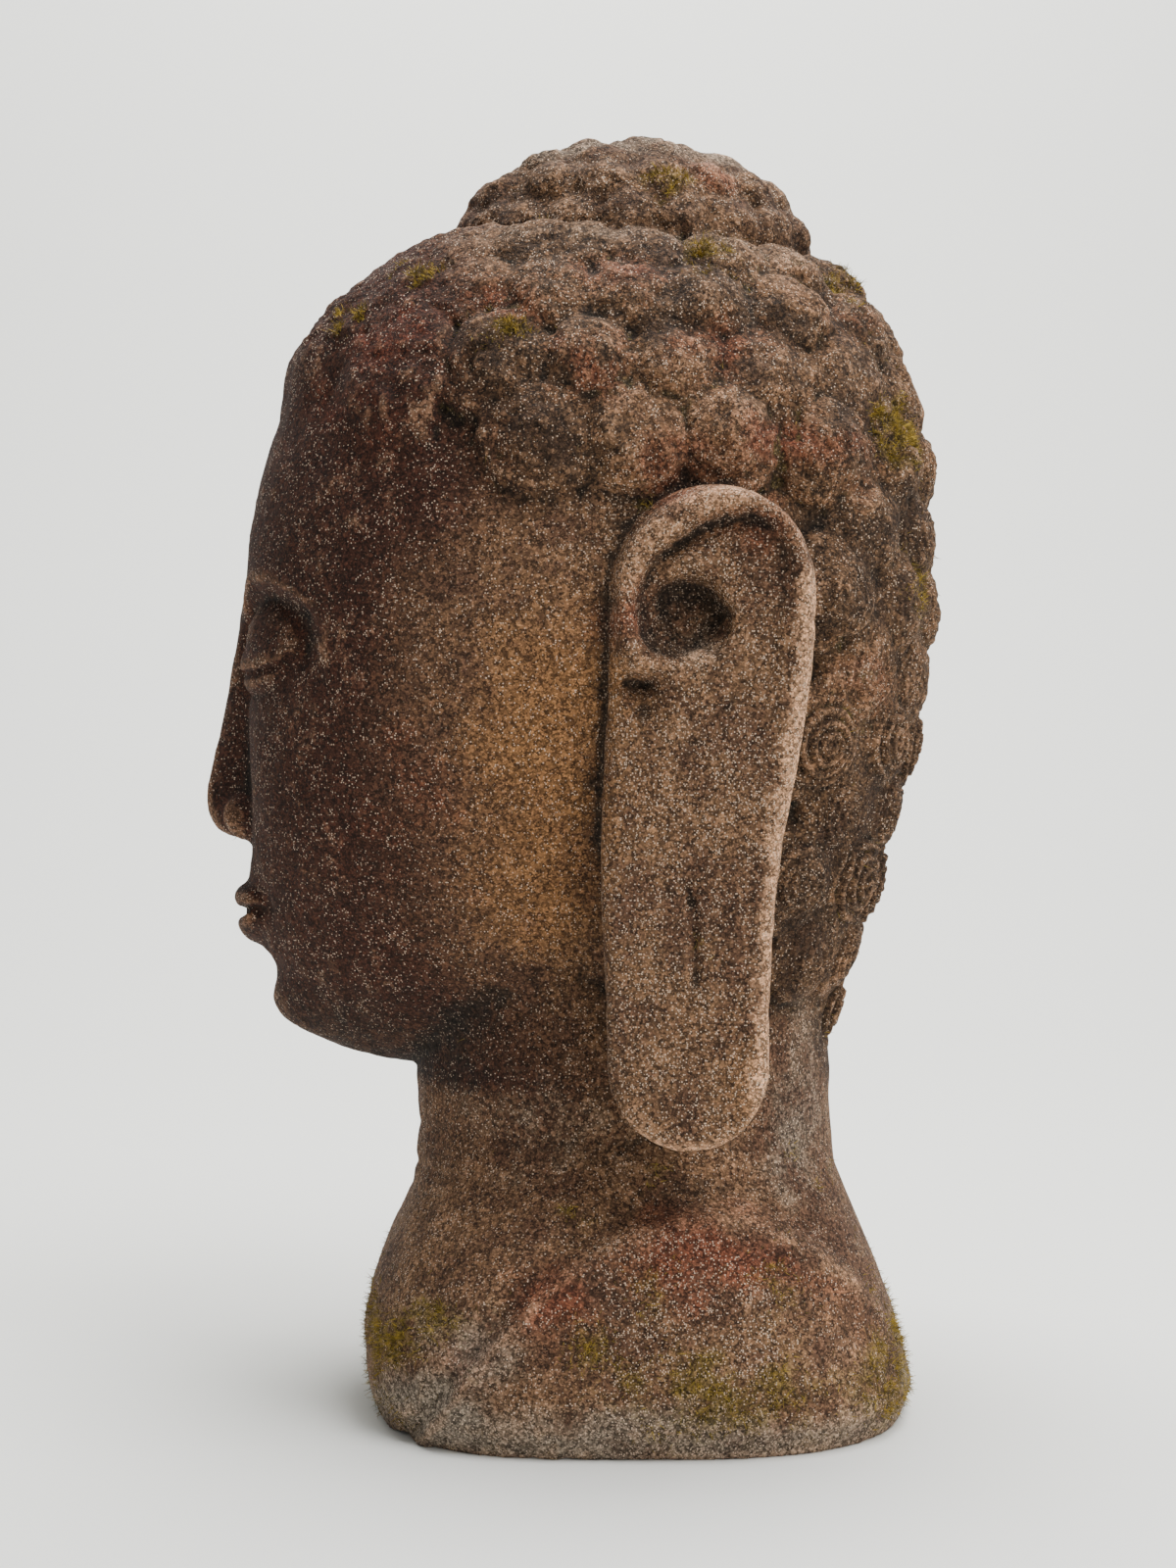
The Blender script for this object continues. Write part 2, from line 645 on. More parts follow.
def slabMesh(name, coarse):
    # a closed slab two units square, one thick, finely gridded on both faces
    bm = bmesh.new()
    across, rows = fineness[name]
    bmesh.ops.create_grid(bm, x_segments=across // coarse, y_segments=rows // coarse, size=1)
    made = bmesh.ops.extrude_face_region(bm, geom=bm.faces[:])
    raised = [part for part in made["geom"] if isinstance(part, bmesh.types.BMVert)]
    bmesh.ops.translate(bm, verts=raised, vec=(0, 0, 1))
    bmesh.ops.recalc_face_normals(bm, faces=bm.faces[:])
    return toMesh(bm, name)


def earForm(side, coarse):
    mesh = slabMesh("earForm", coarse)
    flat = readPoints(mesh)
    across = flat[:, 0]
    top, bottom = ear["top"] - ear["topCurve"], ear["bottom"] + ear["bottomCurve"]
    plain = mix(ear["bottom"], ear["top"], (flat[:, 1] + 1) / 2)
    overTop = np.maximum(0, (plain - top) / ear["topCurve"])
    overBottom = np.maximum(0, (bottom - plain) / ear["bottomCurve"])
    over = np.maximum(overTop, overBottom)
    rounding = np.sqrt(1 - 0.5 * across ** 2)
    level = np.where(overTop > 0, top + ear["topCurve"] * overTop * rounding, plain)
    level = np.where(overBottom > 0, bottom - ear["bottomCurve"] * overBottom * rounding, level)
    y = earMiddle(level) + earHalf(level) * np.sqrt(1 - 0.5 * over ** 2) * across
    inward = np.minimum((1 - np.abs(across)) * earHalf(level), (1 - over) * ear["endReach"])
    edge = ear["edgeRounding"] * (1 - roundOff(1 - np.clip(inward / ear["edgeReach"], 0, 1), 2))
    outer = earPlane(y) - edge + earRelief(y, level) * ease(0, 0.5 * ear["edgeReach"], inward)
    x = np.where(flat[:, 2] > 0.5, outer, earPlane(y) - ear["thickness"] + 0.5 * edge)
    writePoints(mesh, np.stack([side * x, y, level], axis=-1))
    return mesh


def webForm(side):
    # the stone that backs the ear, set in from its edge
    mesh = slabMesh("webForm", 1)
    flat = readPoints(mesh)
    inset = ear["webInset"]
    upwards = (flat[:, 1] + 1) / 2
    level = mix(ear["bottom"] + 1.6 * inset, ear["top"] - 3 * inset, upwards)
    ends = 1 - 0.25 * ease(0.85, 1, np.abs(flat[:, 1]))
    y = earMiddle(level) + (earHalf(level) - inset) * flat[:, 0] * ends
    outer = earPlane(y) - ear["thickness"] + ear["webLap"]
    x = np.where(flat[:, 2] > 0.5, outer, ear["webInnerSide"])
    writePoints(mesh, np.stack([side * x, y, level], axis=-1))
    return mesh


def joinForms(meshes, name):
    bm = bmesh.new()
    for mesh in meshes:
        bm.from_mesh(mesh)
        bpy.data.meshes.remove(mesh)
    return toMesh(bm, name)


def outwardForm(mesh):
    # the mapping or a mirrored side can turn a closed form inside out
    bm = bmesh.new()
    bm.from_mesh(mesh)
    if bm.calc_volume(signed=True) < 0:
        bmesh.ops.reverse_faces(bm, faces=bm.faces[:])
    bm.to_mesh(mesh)
    bm.free()
    return mesh


def applyModifiers(piece):
    graph = bpy.context.evaluated_depsgraph_get()
    made = bpy.data.meshes.new_from_object(piece.evaluated_get(graph))
    old = piece.data
    piece.modifiers.clear()
    piece.data = made
    bpy.data.meshes.remove(old)
    made.name = piece.name


def readEdges(mesh):
    edges = np.empty(len(mesh.edges) * 2, dtype=np.int64)
    mesh.edges.foreach_get("vertices", edges)
    return edges.reshape(-1, 2)


def averageAround(edges, values, rounds):
    # each point's value, evened out with its neighbours' this many times
    a, b = edges[:, 0], edges[:, 1]
    count = len(values)
    links = np.bincount(a, minlength=count) + np.bincount(b, minlength=count)
    for _ in range(rounds):
        total = np.bincount(a, values[b], count) + np.bincount(b, values[a], count)
        values = 0.5 * values + 0.5 * total / np.maximum(links, 1)
    return values


def evened(edges, points, rounds):
    return np.stack([averageAround(edges, points[:, i].copy(), rounds) for i in range(3)], axis=1)


carving = {
    "voxel": 1.15, "trianglesKept": 194000, "hairRoughness": 1.5, "plainRoughness": 0.45,
    "jawSoftness": 110, "sparedBehind": (15, 58), "sparedBelow": ((0.2, 310, 250), (0.8, 235, 195)),
}
spiral = {
    "pitch": 3.5, "depth": 2.5, "smallPitchShare": 0.85, "turnOfEach": 0.618, "sharpness": 0.9,
    "worn": 0.12, "spared": 0.9, "patchy": 0.25, "least": 0.02, "edge": (1.15, 0.95), "eye": (0, 1.2),
}
faceLines = {"lids": 1.5, "lidsHalf": 1.1, "lips": 1.4, "lipsHalf": 1.3, "forward": 55}
neckCreases = ((1, 76, 1.8), (0.8, 88, 2))  # depth, level at the middle and half width
shoulder = {
    "level": 68, "fall": 25, "middle": 16, "half": 50, "aside": (40, 62), "below": 86,
    "ridge": (1.9, -4, 4.5), "hollow": (1.7, 5, 5),
}


def crispness(points):
    # the weather has spared the curls low at the back
    behind = ease(*carving["sparedBehind"], points[:, 1])
    return sum(share * behind * ease(top, full, points[:, 2]) for share, top, full in carving["sparedBelow"])


def spiralCut(points, share, which):
    # depth of the snail-shell grooves
    normal = curls["normal"][which]
    sideways = np.cross((0, 0, 1), normal)
    sideways[np.linalg.norm(sideways, axis=1) < 0.2] = (1, 0, 0)
    sideways /= np.linalg.norm(sideways, axis=1, keepdims=True)
    centre = curls["centre"][which]
    rise = curls["rise"][which]
    u = ((points - centre) * sideways).sum(axis=1)
    w = ((points - centre) * np.cross(normal, sideways)).sum(axis=1)
    far = np.hypot(u, w)
    pitch = spiral["pitch"] * np.where(rise < 4, spiral["smallPitchShare"], 1)
    waver = 0.25 * lumps(points, 9, 8)
    phase = far / pitch + np.arctan2(w, u) / (2 * math.pi) + spiral["turnOfEach"] * which + waver
    groove = 1 - np.abs(np.sin(math.pi * phase)) ** spiral["sharpness"]
    left = spiral["worn"] + spiral["spared"] * crispness(centre) + spiral["patchy"] * lumps(points, 18, 3)
    left = np.clip(left, spiral["least"], 1) * mix(0.15, 1, np.clip(rise / curl["rise"], 0, 1))
    return spiral["depth"] * left * groove * ease(*spiral["edge"], share) * ease(*spiral["eye"], far)


def faceCut(points):
    across, level = inEyeWidths(points)
    lidLine = bell(aboveLids(across, level) * eyeWidth / faceLines["lidsHalf"])
    lipLine = bell(aboveMouth(across, level) * eyeWidth / faceLines["lipsHalf"])
    cut = faceLines["lids"] * lidLine * ease(0.58, 0.5, np.abs(across - eye["across"]))
    cut += faceLines["lips"] * lipLine * ease(0.75, 0.65, across)
    return cut * (points[:, 1] < head["axisY"] - faceLines["forward"])


def neckCut(points):
    # two soft creases round the front of the neck
    rise = points[:, 2] - 0.05 * points[:, 1]
    creases = sum(depth * bell((rise - level) / half) for depth, level, half in neckCreases)
    return creases * ease(-20, -60, points[:, 1])


def aboveShoulder(points):
    # height above the line where the neck's side runs out over the foot, highest at the middle
    along = (points[:, 1] - shoulder["middle"]) / shoulder["half"]
    return points[:, 2] - shoulder["level"] + shoulder["fall"] * along ** 2


def onShoulder(points):
    return ease(*shoulder["aside"], np.abs(points[:, 0])) * (points[:, 2] < shoulder["below"])


def shoulderRidge(points):
    def band(name):
        rise, level, half = shoulder[name]
        return rise * bell((aboveShoulder(points) - level) / half)

    return (band("ridge") - band("hollow")) * onShoulder(points)


def erosion(points, hair):
    roughness = mix(carving["plainRoughness"], carving["hairRoughness"], hair)
    fine = (1 - 0.65 * crispness(points)) * roughness
    bumps = 0.75 * lumps(points, 6, 2) + 0.6 * lumps(points, 2.7, 5)
    pits = 2 * np.maximum(0, lumps(points, 4.5, 7) - 0.5)
    return 0.8 * (fine * (bumps - pits) + 0.7 * roughness * lumps(points, 15, 1))


def softenJaw(mesh):
    # the cheek runs down into the neck without an edge, but the chin keeps its own
    points = readPoints(mesh)
    smooth = evened(readEdges(mesh), points, carving["jawSoftness"])
    y, z = points[:, 1] / unit, points[:, 2] / unit
    soft = ease(-66, -36, y) * ease(40, 20, y) * ease(88, 100, z) * ease(190, 165, z)
    soft *= ~insideEar(points / unit, -9, -2)
    writePoints(mesh, points + (smooth - points) * soft[:, None])


def carveStone(mesh):
    points = readPoints(mesh) / unit
    normals = readNormals(mesh)
    share, which = nearestCurls(points)
    hair = ease(2.1, 1.2, share) * ~onEarFace(points, -3, -2)
    cut = spiralCut(points, share, which) * hair + faceCut(points) + neckCut(points)
    lift = erosion(points, hair) + shoulderRidge(points)
    points += normals * (lift - cut)[:, None]
    points[:, 2] = np.maximum(points[:, 2], 0)
    writePoints(mesh, points * unit)


def makeStoneHead():
    coarse = 1
    forms = [headForm(coarse), columnForm(coarse)]
    for side in (1, -1):
        forms += [earForm(side, coarse), webForm(side)]
    mesh = joinForms([outwardForm(form) for form in forms], "stoneHead")
    writePoints(mesh, readPoints(mesh) * unit)
    piece = bpy.data.objects.new("stoneHead", mesh)
    scene.collection.objects.link(piece)
    remesh = piece.modifiers.new("fuse", "REMESH")
    remesh.mode = "VOXEL"
    remesh.voxel_size = carving["voxel"] * coarse * unit
    applyModifiers(piece)
    print("forms fused:", len(piece.data.vertices), "points")
    softenJaw(piece.data)
    carveStone(piece.data)
    triangles = 2 * len(piece.data.polygons)
    thin = piece.modifiers.new("thin", "DECIMATE")
    thin.ratio = min(1, carving["trianglesKept"] / triangles)
    applyModifiers(piece)
    piece.data.shade_smooth()
    print("head carved:", len(piece.data.polygons), "faces")
    return piece


stoneHead = makeStoneHead()


# what the weather has done, kept as one value per point of the head
def spot(points, centre, size):
    gap = (points - np.array(centre)) / np.array(size)
    return np.exp(-(gap ** 2).sum(axis=1))


def patches(points, places):
    # each place has a strength, a centre and a size
    return sum(strength * spot(points, centre, size) for strength, centre, size in places)


def warped(points, reach, size, seed):
    # points pushed about, so that a patch gets a ragged outline
    return points + np.stack([reach * lumps(points, size, seed + i) for i in range(3)], axis=1)


def markWeather(mesh):
    points = readPoints(mesh) / unit
    normals = readNormals(mesh)
    edges = readEdges(mesh)
    fine = ((evened(edges, points, 10) - points) * normals).sum(axis=1)
    wide = ((evened(edges, points, 90) - points) * normals).sum(axis=1)
    share, which = nearestCurls(points)
    hair = ease(2.2, 1.25, share) * ~onEarFace(points, -3, -2)
    bowl = bell(np.hypot(points[:, 1] - earHub[0] + 2, points[:, 2] - earHub[1] + 4) / 13)
    whole = mix(0.15, 1, np.clip(1.4 * curls["rise"][which] / curl["rise"] - 0.2, 0, 1))
    masks = {
        "valley": np.clip(fine / 0.8, 0, 1) * mix(1, whole, hair) * (1 - 0.7 * bowl),
        "ridge": np.clip(-fine / 0.7, 0, 1) * mix(1, 0.3, frontEdge(points)),
        "shade": np.clip(wide / 4.5, 0, 1) * (1 - 0.45 * bowl) * mix(1, whole, hair)
        + besideEar(points) + 0.95 * underJaw(points),
        "hair": hair * whole ** 0.5,
        "damp": dampFront(points),
        "ochre": patches(warped(points, 8, 22, 22), ochrePlaces),
        "red": redPatches(points),
        "bleached": bleachedPatches(points),
        "bloom": bloomPatches(points),
        "sandy": np.where(onEarFace(points, -3, -3), 1, 0.3),
    }
    masks["moss"] = mossPatches(points, masks)
    for name, values in masks.items():
        layer = mesh.attributes.new(name, "FLOAT", "POINT")
        layer.data.foreach_set("value", np.clip(values, 0, 1).astype(np.float32))
    return masks


def frontEdge(points):
    inward = points[:, 1] - earMiddle(points[:, 2]) + earHalf(points[:, 2])
    return insideEar(points, -4, -4) * ease(8, 3, inward)


def underJaw(points):
    y, z = points[:, 1], points[:, 2]
    return ease(150, 112, z) * ease(94, 102, z) * ease(-15, -60, y)


def besideEar(points):
    # dirt gathers where the ear stands off the cheek, the hair and the neck
    y, z = points[:, 1], points[:, 2]
    aside = np.maximum(0, np.abs(y - earMiddle(z)) - earHalf(z) + 1)
    below = np.maximum(0, ear["bottom"] - z)
    behind = ease(2, 7, earPlane(y) - np.abs(points[:, 0])) * (z < ear["top"] - ear["topCurve"])
    return 0.3 * bell(np.hypot(aside, below) / 4) * behind


def dampFront(points):
    # the face side and the underside of the jaw are darker than the ear and the hair
    y, z = points[:, 1], points[:, 2]
    front = ease(-26, -98, y + 11 * lumps(points, 28, 21)) * ease(112, 128, z)
    forehead = 0.5 * ease(-35, -80, y) * ease(262, 300, z) + patches(points, dampPlaces)
    jaw = ease(160, 108, z) * ease(96, 104, z) * ease(5, -45, y)
    throat = ease(112, 98, z) * ease(66, 84, z) * ease(0, -40, y)
    return np.clip(front + forehead + 0.7 * jaw + 0.3 * throat, 0, 1.2)


# where patches lie: strength, centre and size
dampPlaces = [(0.4, (75, -44, 282), (45, 30, 26))]
ochrePlaces = [
    (1, (76, -27, 208), (45, 23, 32)), (0.65, (70, -32, 165), (45, 26, 32)),
    (0.7, (98, 28, 104), (20, 9, 18)),
]
bloomPlaces = [
    (1.1, (60, 50, 94), (40, 13, 28)), (0.5, (60, -30, 90), (40, 30, 14)), (0.7, (80, -48, 32), (40, 18, 11)),
    (0.7, (80, -62, 14), (40, 14, 10)), (0.35, (70, 0, 352), (60, 60, 8)),
]
bowlBloom = [(0.55, (90, 14, 228), (12, 10, 8))]
# red and mossy places: centre and size
redPlaces = [
    ((60, -5, 340), 13), ((70, 20, 317), 13), ((75, -17, 311), 10), ((88, 66, 290), 13),
    ((88, 12, 56), 14), ((90, 36, 52), 14), ((60, -88, 300), 14), ((90, 70, 220), 12),
    ((85, -28, 44), 14), ((84, -50, 26), 11), ((96, 34, 262), 13), ((70, 66, 330), 12),
    ((96, 8, 276), 13), ((60, -60, 190), 20), ((50, 20, 378), 10), ((90, 84, 160), 10),
    ((94, -6, 236), 12), ((70, -70, 322), 14), ((60, -40, 330), 14), ((80, 40, 290), 12),
]
mossPlaces = [
    ((70, -66, 339), 8), ((75, -39, 322), 7), ((70, 20, 346), 8), ((96, -3, 271), 4),
    ((70, 68, 345), 9), ((70, -88, 330), 5), ((70, 8, 372), 8),
    ((85, 5, 49), 7), ((85, 8, 22), 12), ((88, 24, 16), 11), ((80, 76, 22), 12),
    ((80, -72, 30), 9), ((97, 14, 146), 3), ((92, 84, 290), 9), ((70, 56, 70), 6),
    ((66, 4, 80), 5), ((88, 88, 250), 9), ((75, -58, 36), 7), ((88, 38, 20), 8),
    ((60, 44, 78), 5), ((85, 38, 52), 7), ((85, -14, 30), 8), ((70, -22, 66), 5), ((70, 76, 300), 9),
]


def redPatches(points):
    pushed = warped(points, 7, 13, 31)
    above = aboveShoulder(pushed)
    band = ease(3, -4, above) * ease(-30, -10, above) * ease(-45, -20, points[:, 1]) * onShoulder(points)
    places = [(0.8, centre, (30, size, 0.75 * size)) for centre, size in redPlaces]
    return 0.42 * band + patches(pushed, places)


def bleachedPatches(points):
    # the worn rims of the helix and the lobe, palest along the lobe's back edge
    y, z = points[:, 1], points[:, 2]
    onEar = np.abs(points[:, 0]) > earPlane(y) - 5
    far, where = distanceToLine(y - earHub[0], z - earHub[1], helixPoints[::3])
    rim = ease(5.5, 1.5, far) * (0.2 + 0.4 * bell((where - 0.5) / 0.14))
    inward = earHalf(z) - np.abs(y - earMiddle(z)) + 2.5 * lumps(points, 5, 42)
    edge = ease(8, 1.5, inward) * ease(-4, 14, y) * (z < 250)
    up = z - ear["bottom"]
    lobeEnd = 0.8 * ease(5, 1, up - 9 * (1 - roundOff((y - earMiddle(z)) / 22, 2))) * (z < 120) * (up > -3)
    ridge = 0.4 * bell((aboveShoulder(points) + 1) / 4) * onShoulder(points) * ease(-60, -20, y)
    return np.clip(rim + edge + lobeEnd, 0, 1) * onEar + ridge


def bloomPatches(points):
    # grey bloom on the neck behind the lobe, the foot's front corner, its bottom edge and the topknot
    pushed = warped(points, 7, 15, 51)
    edges = 0.8 * ease(20, 6, pushed[:, 2]) + 0.6 * ease(372, 392, pushed[:, 2])
    return patches(pushed, bloomPlaces) + edges + patches(points, bowlBloom)


def mossPatches(points, masks):
    y, z = points[:, 1], points[:, 2]
    clumps = patches(warped(points, 5, 9, 61), [(1, centre, (60, size, size)) for centre, size in mossPlaces])
    inHair = masks["hair"] * (0.05 + 0.34 * masks["valley"]) * (1 + lumps(points, 24, 64))
    onFoot = 0.26 * ease(75, 40, z) * (1 + 1.2 * lumps(points, 12, 65))
    edges = 0.36 * ease(60, 84, np.abs(y - column["axisY"])) * ease(75, 30, z)
    edges *= 0.5 + 0.6 * lumps(points, 9, 66)
    return clumps * (0.85 + 0.8 * lumps(points, 4, 12)) + inHair + onFoot + edges


weather = markWeather(stoneHead.data)
print("weather marked")


# shader maths: one socket, with the operators that the materials use
class surface:
    def __init__(self, tree, socket):
        self.tree = tree
        self.socket = socket

    def node(self, kind, settings, sockets, output=0):
        made = self.tree.nodes.new(kind)
        for name, value in settings.items():
            setattr(made, name, value)
        for name, value in sockets.items():
            if isinstance(value, surface):
                self.tree.links.new(value.socket, made.inputs[name])
            else:
                made.inputs[name].default_value = value
        return surface(self.tree, made.outputs[output]) if len(made.outputs) else None

    def maths(self, operation, first, second):
        return self.node("ShaderNodeMath", {"operation": operation}, {0: first, 1: second})

    def __add__(self, other):
        return self.maths("ADD", self, other)

    def __radd__(self, other):
        return self.maths("ADD", other, self)

    def __sub__(self, other):
        return self.maths("SUBTRACT", self, other)

    def __rsub__(self, other):
        return self.maths("SUBTRACT", other, self)

    def __mul__(self, other):
        return self.maths("MULTIPLY", self, other)

    def __rmul__(self, other):
        return self.maths("MULTIPLY", other, self)

    def __rpow__(self, other):
        return self.maths("POWER", other, self)

    def between(self, low, high):
        # 0 at low, 1 at high, smooth in between
        settings = {"interpolation_type": "SMOOTHSTEP"}
        sockets = {"Value": self, "From Min": low, "From Max": high, "To Min": 0, "To Max": 1}
        return self.node("ShaderNodeMapRange", settings, sockets)

    def tint(self, first, second):
        # the first colour where this mask is 0, the second where it is 1
        sockets = {0: self, 6: first, 7: second}
        return self.node("ShaderNodeMix", {"data_type": "RGBA", "clamp_factor": True}, sockets, 2)

    def shaded(self, tone):
        # this colour, darker or lighter by a plain number over the surface
        sockets = {0: 1, 6: self, 7: tone}
        return self.node("ShaderNodeMix", {"data_type": "RGBA", "blend_type": "MULTIPLY"}, sockets, 2)


def paint(red, green, blue):
    # a colour as seen on screen, from 0 to 255, as a shader takes it
    linear = [((v / 255 + 0.055) / 1.055) ** 2.4 if v > 10 else v / 3294 for v in (red, green, blue)]
    return (*linear, 1)


stonePaint = {
    "earth": paint(112, 84, 60),
    "umber": paint(76, 53, 39),
    "greyed": paint(98, 72, 50),
    "darkHair": paint(52, 38, 27),
    "plum": paint(52, 29, 20),
    "ochre": paint(120, 84, 51),
    "redBrown": paint(98, 50, 35),
    "sandRim": paint(182, 140, 107),
    "bloom": paint(118, 108, 95),
    "grime": paint(24, 21, 17),
    "teal": paint(40, 50, 42),
    "mossGreen": paint(98, 84, 42),
    "paleGrain": paint(226, 198, 172),
}


def startMaterial(name):
    material = bpy.data.materials.new(name)
    material.use_nodes = True
    tree = material.node_tree
    tree.nodes.clear()
    return material, surface(tree, None)


def finishMaterial(shade, colour, roughness, height, strength, distance):
    bump = shade.node("ShaderNodeBump", {}, {"Strength": strength, "Distance": distance, "Height": height})
    sockets = {"Base Color": colour, "Roughness": roughness, "Normal": bump, "Specular IOR Level": 0.25}
    closure = shade.node("ShaderNodeBsdfPrincipled", {}, sockets)
    shade.node("ShaderNodeOutputMaterial", {}, {"Surface": closure})


def noiseAt(shade, place, size, detail=3, roughness=0.6):
    sockets = {"Vector": place, "Scale": 1 / (size * unit), "Detail": detail, "Roughness": roughness}
    return shade.node("ShaderNodeTexNoise", {}, sockets)


def cellsAt(shade, place, size, output):
    sockets = {"Vector": place, "Scale": 1 / (size * unit)}
    return shade.node("ShaderNodeTexVoronoi", {}, sockets, output)


# layers of the stone's colour: mask, raggedness, where it starts and is full, strength and colour
stoneLayers = [
    ("ochre", 0.9, 0, 1.1, 0.9, "ochre"),
    ("damp", 0.6, 0, 0.95, 1, "plum"),
    ("red", 1.4, 0.1, 1.15, 0.8, "redBrown"),
    ("bloom", 1, 0.15, 1.1, 0.85, "bloom"),
    ("bleached", 0.8, 0.1, 1.1, 0.8, "sandRim"),
    ("ridge", 0.8, 0.3, 1.2, 0.22, "sandRim"),
]
grain = {"coarse": 1.1, "fine": 0.45, "pale": 0.5, "paleShare": (0.9, 1.04), "paleEdge": (0.6, 0.25)}


def weatheredStone():
    material, shade = startMaterial("weatheredStone")
    place = shade.node("ShaderNodeTexCoord", {}, {}, "Object")

    def mark(name):
        return shade.node("ShaderNodeAttribute", {"attribute_name": name}, {}, "Fac")

    def cellTone(size, channel):
        cells = cellsAt(shade, place, size, "Color")
        return shade.node("ShaderNodeSeparateColor", {}, {"Color": cells}, channel)

    broad = noiseAt(shade, place, 34, 4) - 0.5
    patchy = noiseAt(shade, place, 9, 5) - 0.5
    gritty = noiseAt(shade, place, 1.5, 3) - 0.5
    blotch = noiseAt(shade, place, 4.5, 5, 0.7) - 0.5
    ragged = broad * 1.2 + patchy * 1.1 + gritty * 0.9
    hair = mark("hair")
    colour = (ragged + 0.5).between(0.2, 0.8).tint(stonePaint["umber"], stonePaint["earth"])
    hairTone = (ragged * 1.3 + 0.45).between(0.15, 0.85).tint(stonePaint["darkHair"], stonePaint["greyed"])
    colour = (hair + ragged * 0.6).between(0.1, 1).tint(colour, hairTone)
    for name, raggedness, start, full, strength, tone in stoneLayers:
        mask = (mark(name) + ragged * raggedness).between(start, full) * strength
        colour = mask.tint(colour, stonePaint[tone])
    dirt = mark("valley") * 0.85 + mark("shade") * 0.75 + ragged * 0.7 + blotch * (1.1 + 0.5 * hair) - 0.18
    dirt = dirt.between(0, 1)
    colour = (dirt * 0.85).tint(colour, stonePaint["grime"])
    colour = ((mark("shade") * hair + patchy * 2).between(0.45, 1.2) * 0.4).tint(colour, stonePaint["teal"])
    colour = ((mark("moss") + ragged * 1.3).between(0.35, 1.2) * 0.6).tint(colour, stonePaint["mossGreen"])
    # sand grains of two sizes, one random tone each
    coarse = cellTone(grain["coarse"], 0)
    fine = cellTone(grain["fine"], 1)
    colour = colour.shaded(10 ** (coarse - 0.5) * 0.44 + 50 ** (fine - 0.5) * 0.3)
    sandy = cellTone(grain["pale"], 2) + patchy * 0.5 + blotch * 0.2 + mark("sandy") * 0.17
    edge = cellsAt(shade, place, grain["pale"], "Distance").between(*grain["paleEdge"])
    pale = sandy.between(*grain["paleShare"]) * edge * (1 - dirt * 0.6)
    colour = pale.tint(colour, stonePaint["paleGrain"])
    height = coarse * 0.5 + fine * 0.35 + gritty * 1.2 + blotch * (0.8 + 1.6 * hair) + pale * 0.4
    finishMaterial(shade, colour, 0.95 - pale * 0.3, height, 0.85, 0.9 * unit)
    return material


def fibreMaterial(name, dark, light):
    material, shade = startMaterial(name)
    place = shade.node("ShaderNodeTexCoord", {}, {}, "Object")
    tone = noiseAt(shade, place, 2.5, 3)
    finishMaterial(shade, tone.between(0.35, 0.65).tint(dark, light), 0.9, tone, 0.2, 0.2 * unit)
    return material


def mossFibre():
    return fibreMaterial("mossFibre", paint(78, 66, 26), paint(164, 136, 54))


def strawFibre():
    return fibreMaterial("strawFibre", paint(46, 38, 22), paint(112, 92, 46))


stoneHead.data.materials.clear()
stoneHead.data.materials.append(weatheredStone())
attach(stoneHead, "root")
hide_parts("buddha_head")
print("stone finished")

# moss tufts in their patches, and straw-like fibres strewn over the hair and the foot
moss = {
    "tufts": 9000,
    "tuftLength": 2.3,
    "fibres": 4200,
    "fibreLength": 2.2,
    "width": 0.28,
}


def bladeMesh():
    bm = bmesh.new()
    bmesh.ops.create_grid(bm, x_segments=1, y_segments=2, size=0.5)
    for vertex in bm.verts:
        up = vertex.co.y + 0.5
        vertex.co = Vector((vertex.co.x * (1 - 0.8 * up), 0.35 * up * up, up))
    return toMesh(bm, "blade")


def scatter(name, shape, bases, xs, ys, zs):
    # one copy of the shape at each base, on its own three directions
    points = readPoints(shape)
    sides = [list(face.vertices) for face in shape.polygons]
    placed = bases[:, None, :] + points[None, :, 0:1] * xs[:, None, :] + points[None, :, 1:2] * ys[:, None, :]
    placed = (placed + points[None, :, 2:3] * zs[:, None, :]).reshape(-1, 3)
    faces = [[corner + i * len(points) for corner in side] for i in range(len(bases)) for side in sides]
    mesh = bpy.data.meshes.new(name)
    mesh.from_pydata(placed, [], faces)
    piece = bpy.data.objects.new(name, mesh)
    scene.collection.objects.link(piece)
    bpy.data.meshes.remove(shape)
    return piece


def acrossDirections(normals, random):
    sideways = np.cross(normals, random.normal(size=normals.shape))
    sideways /= np.linalg.norm(sideways, axis=1, keepdims=True)
    return sideways, np.cross(normals, sideways)


def growFibres(name, odds, count, length, spread, material, seed):
    # one fibre at each chosen point, tilted off the surface by its spread
    random = np.random.default_rng(seed)
    points = readPoints(stoneHead.data)
    normals = readNormals(stoneHead.data)
    odds = np.where(points[:, 2] > 2 * unit, odds, 0)
    chosen = random.choice(len(points), count, p=odds / odds.sum())
    lean = normals[chosen] + spread * random.normal(size=(count, 3))
    sunk = (lean * normals[chosen]).sum(axis=1, keepdims=True)
    lean += normals[chosen] * np.maximum(0, 0.15 - sunk)
    lean /= np.linalg.norm(lean, axis=1, keepdims=True)
    across, bend = acrossDirections(lean, random)
    long = length * unit * random.uniform(0.4, 1.3, count)[:, None]
    bases = points[chosen] + 0.8 * unit * random.normal(size=(count, 3)) * (1 - np.abs(normals[chosen]))
    bases -= 0.2 * unit * normals[chosen]
    piece = scatter(name, bladeMesh(), bases, across * moss["width"] * unit, bend * long, lean * long)
    piece.data.materials.append(material)
    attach(piece, "root")


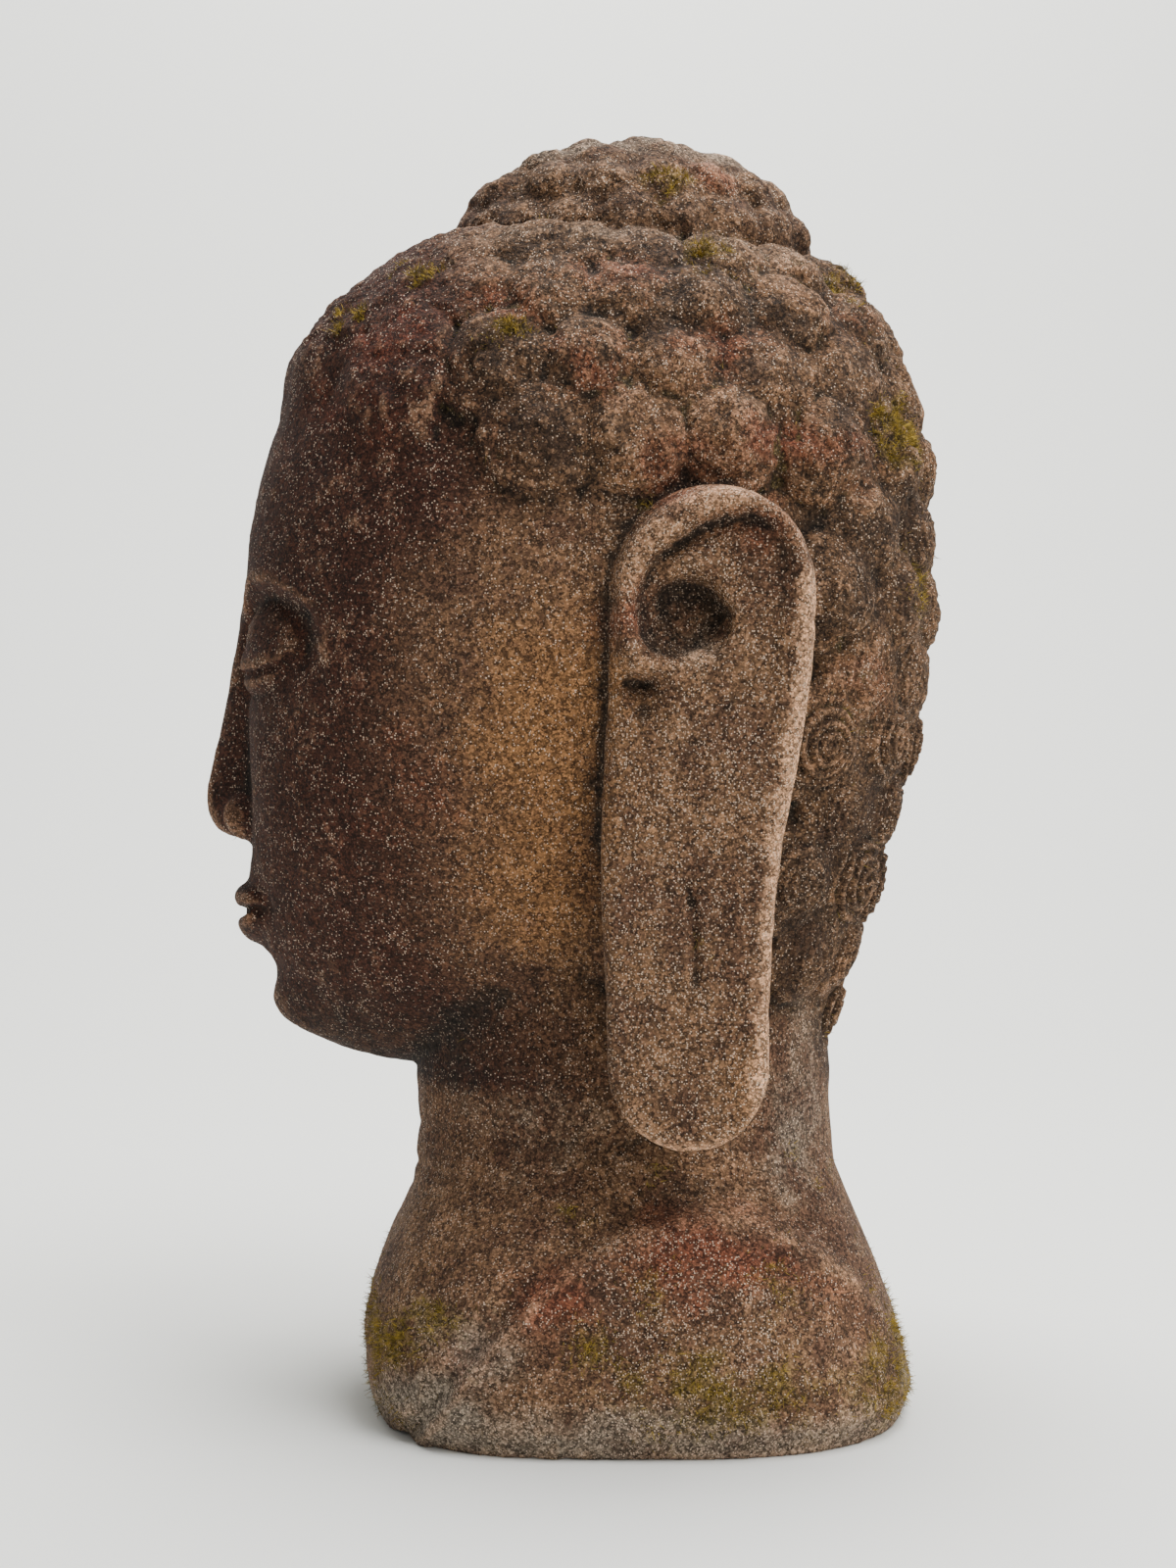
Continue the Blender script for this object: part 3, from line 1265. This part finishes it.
def growMoss():
    tufted = np.clip(weather["moss"] - 0.4, 0, 1) ** 1.3 + 1e-9
    growFibres("mossTufts", tufted, moss["tufts"], moss["tuftLength"], 0.7, mossFibre(), 7)
    strewn = np.clip(weather["moss"] - 0.1, 0, 0.5) ** 1.5 + 0.0008
    growFibres("strawFibres", strewn, moss["fibres"], moss["fibreLength"], 1.8, strawFibre(), 8)


growMoss()
print("moss grown")

# studio: a pale sheet swept up behind the head, and soft light from above and the right
studio = {
    "sheet": paint(236, 236, 231),
    "bend": 0.7,
    "wallAt": -1.5,
    "keyPower": 20,
    "sidePower": 7,
    "wallPower": 68,
    "skyStrength": 0.28,
}


def plainMaterial(name, colour):
    material, shade = startMaterial(name)
    closure = shade.node("ShaderNodeBsdfPrincipled", {}, {"Base Color": colour, "Roughness": 0.9})
    shade.node("ShaderNodeOutputMaterial", {}, {"Surface": closure})
    return material


def addSheet():
    # the floor runs back into the wall by a quarter round
    bm = bmesh.new()
    bmesh.ops.create_grid(bm, x_segments=60, y_segments=1, size=4)
    bend = studio["bend"]
    corner = studio["wallAt"] + bend
    for vertex in bm.verts:
        past = corner - vertex.co.x
        if past > 0:
            turn = min(past / bend, math.pi / 2)
            up = bend * (1 - math.cos(turn)) + max(0, past - bend * math.pi / 2)
            vertex.co = Vector((corner - bend * math.sin(turn), vertex.co.y, up))
    sheet = bpy.data.objects.new("sheet", toMesh(bm, "sheet"))
    sheet.data.materials.append(plainMaterial("paleSheet", studio["sheet"]))
    sheet.data.shade_smooth()
    scene.collection.objects.link(sheet)


def addAreaLight(name, place, target, size, power):
    data = bpy.data.lights.new(name, "AREA")
    data.shape = "DISK"
    data.size = size
    data.energy = power
    light = bpy.data.objects.new(name, data)
    light.location = place
    light.rotation_euler = (Vector(target) - Vector(place)).to_track_quat("-Z", "Y").to_euler()
    scene.collection.objects.link(light)


def setStudio():
    addSheet()
    addAreaLight("keyLight", (0.45, 0.5, 1.3), (0, 0, 0.2), 0.9, studio["keyPower"])
    addAreaLight("sideLight", (1.2, 1, 0.5), (0, 0, 0.2), 0.7, studio["sidePower"])
    addAreaLight("wallLight", (-0.3, 0, 1.9), (-1.5, 0, 0.4), 1.2, studio["wallPower"])
    world = bpy.data.worlds.new("softSky")
    world.use_nodes = True
    sky = world.node_tree.nodes["Background"]
    sky.inputs["Color"].default_value = (0.95, 0.98, 1, 1)
    sky.inputs["Strength"].default_value = studio["skyStrength"]
    scene.world = world


setStudio()
print("studio set")
